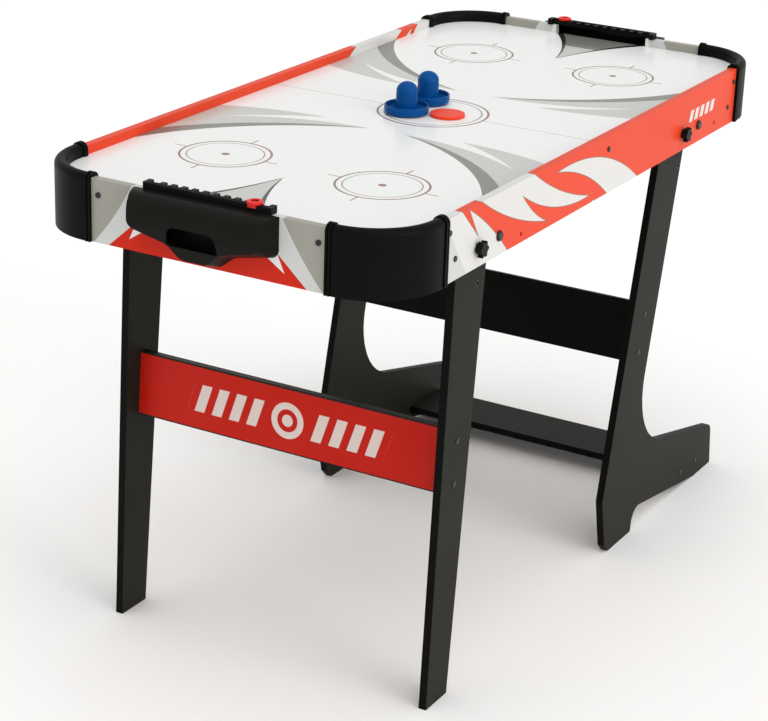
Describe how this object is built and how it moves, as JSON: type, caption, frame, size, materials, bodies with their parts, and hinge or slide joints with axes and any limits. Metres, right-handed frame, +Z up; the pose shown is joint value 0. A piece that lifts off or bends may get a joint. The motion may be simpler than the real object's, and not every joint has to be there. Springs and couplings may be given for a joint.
{
  "type": "air hockey table",
  "caption": "Folding air hockey table with straight and L-shaped legs, goal boxes, score bars, a blower, pushers and a puck.",
  "frame": {"origin": "on the floor under the middle of the table", "axes": "+Z up, +Y along the table from the straight legs to the L-shaped legs, +X to the right seen from the straight-leg end"},
  "size_m": [0.608, 1.292, 0.7793],
  "materials": {
    "printed_board": "satin printed foil",
    "playing_surface": "gloss printed foil",
    "bare_board": "raw",
    "black_board": "satin foil",
    "red_board": "satin foil",
    "black_plastic": "fine texture",
    "blue_plastic": "gloss",
    "red_plastic": "gloss",
    "felt": "pressed felt",
    "zinc_steel": "zinc plated",
    "black_steel": "black oxide"
  },
  "bodies": {
    "table": {"side_apron_left": "printed_board", "side_apron_right": "printed_board", "end_apron_near": "printed_board", "end_apron_far": "printed_board", "corner_cap_near_left": "black_plastic", "corner_cap_near_right": "black_plastic", "corner_cap_far_left": "black_plastic", "corner_cap_far_right": "black_plastic", "playfield": "playing_surface", "playfield_battens": "bare_board", "leg_blocks": "bare_board", "corner_gussets": "bare_board", "air_chamber_frame": "bare_board", "air_chamber_floor": "bare_board", "fan_housing": "black_plastic", "fan_motor": "zinc_steel", "fan_guard": "zinc_steel", "fan_screws": "zinc_steel", "goal_box_near": "black_plastic", "goal_box_far": "black_plastic", "score_bar_near": "black_plastic", "score_bar_far": "black_plastic", "apron_screws": "black_steel", "pivot_bolts": "black_steel", "pivot_nuts": "zinc_steel", "switch_plate": "black_plastic", "power_socket": "zinc_steel"},
    "straight_legs": {"i_leg_left": "black_board", "i_leg_right": "black_board", "i_leg_panel": "red_board", "i_leg_bolts": "black_steel", "i_leg_inserts": "zinc_steel"},
    "l_legs": {"l_leg_left": "black_board", "l_leg_right": "black_board", "l_leg_panel": "black_board", "foot_panel": "black_board", "l_leg_bolts": "black_steel", "l_leg_inserts": "zinc_steel"},
    "lock_knob_near_left": {"lock_knob_near_left": "black_plastic", "lock_stud_near_left": "zinc_steel"},
    "lock_knob_near_right": {"lock_knob_near_right": "black_plastic", "lock_stud_near_right": "zinc_steel"},
    "lock_knob_far_left": {"lock_knob_far_left": "black_plastic", "lock_stud_far_left": "zinc_steel"},
    "lock_knob_far_right": {"lock_knob_far_right": "black_plastic", "lock_stud_far_right": "zinc_steel"},
    "score_slider_near": {"score_slider_near": "red_plastic"},
    "score_slider_far": {"score_slider_far": "red_plastic"},
    "fan_impeller": {"fan_impeller": "black_plastic"},
    "power_rocker": {"power_rocker": "black_plastic"},
    "puck": {"puck": "red_plastic"},
    "pusher_near": {"pusher_near": "blue_plastic", "felt_pad_near": "felt"},
    "pusher_far": {"pusher_far": "blue_plastic", "felt_pad_far": "felt"}
  },
  "joints": [
    {"name": "l_legs_fold", "type": "hinge", "parent": "table", "child": "l_legs", "pos_m": [0, 0.344, 0.682], "axis": [1, 0, 0], "range_deg": [0, 90]},
    {"name": "straight_legs_fold", "type": "hinge", "parent": "table", "child": "straight_legs", "pos_m": [0, -0.344, 0.682], "axis": [1, 0, 0], "range_deg": [0, 86]},
    {"name": "lock_knob_near_left_pull", "type": "slide", "parent": "table", "child": "lock_knob_near_left", "axis": [-1, 0, 0], "range_m": [0, 0.0225]},
    {"name": "lock_knob_near_right_pull", "type": "slide", "parent": "table", "child": "lock_knob_near_right", "axis": [1, 0, 0], "range_m": [0, 0.0225]},
    {"name": "lock_knob_far_left_pull", "type": "slide", "parent": "table", "child": "lock_knob_far_left", "axis": [-1, 0, 0], "range_m": [0, 0.0225]},
    {"name": "lock_knob_far_right_pull", "type": "slide", "parent": "table", "child": "lock_knob_far_right", "axis": [1, 0, 0], "range_m": [0, 0.0225]},
    {"name": "score_slider_near_slide", "type": "slide", "parent": "table", "child": "score_slider_near", "axis": [-1, 0, 0], "range_m": [0, 0.154]},
    {"name": "score_slider_far_slide", "type": "slide", "parent": "table", "child": "score_slider_far", "axis": [1, 0, 0], "range_m": [0, 0.154]},
    {"name": "fan_spin", "type": "hinge", "parent": "table", "child": "fan_impeller", "pos_m": [0, 0.12, 0.68], "axis": [0, 0, 1], "continuous": true},
    {"name": "power_rocker_tilt", "type": "hinge", "parent": "table", "child": "power_rocker", "pos_m": [-0.2905, 0.169, 0.698], "axis": [0, 0, 1], "range_deg": [-14, 0]},
    {"name": "puck_glide", "type": "slide", "parent": "table", "child": "puck", "axis": [0, 1, 0], "range_m": [0, 0.6]},
    {"name": "pusher_near_glide", "type": "slide", "parent": "table", "child": "pusher_near", "axis": [0, -1, 0], "range_m": [0, 0.5]},
    {"name": "pusher_far_glide", "type": "slide", "parent": "table", "child": "pusher_far", "axis": [0, 1, 0], "range_m": [0, 0.45]}
  ],
  "couplings": [
    {"joint": "straight_legs_fold", "follows": "l_legs_fold", "ratio": 0.95556}
  ]
}
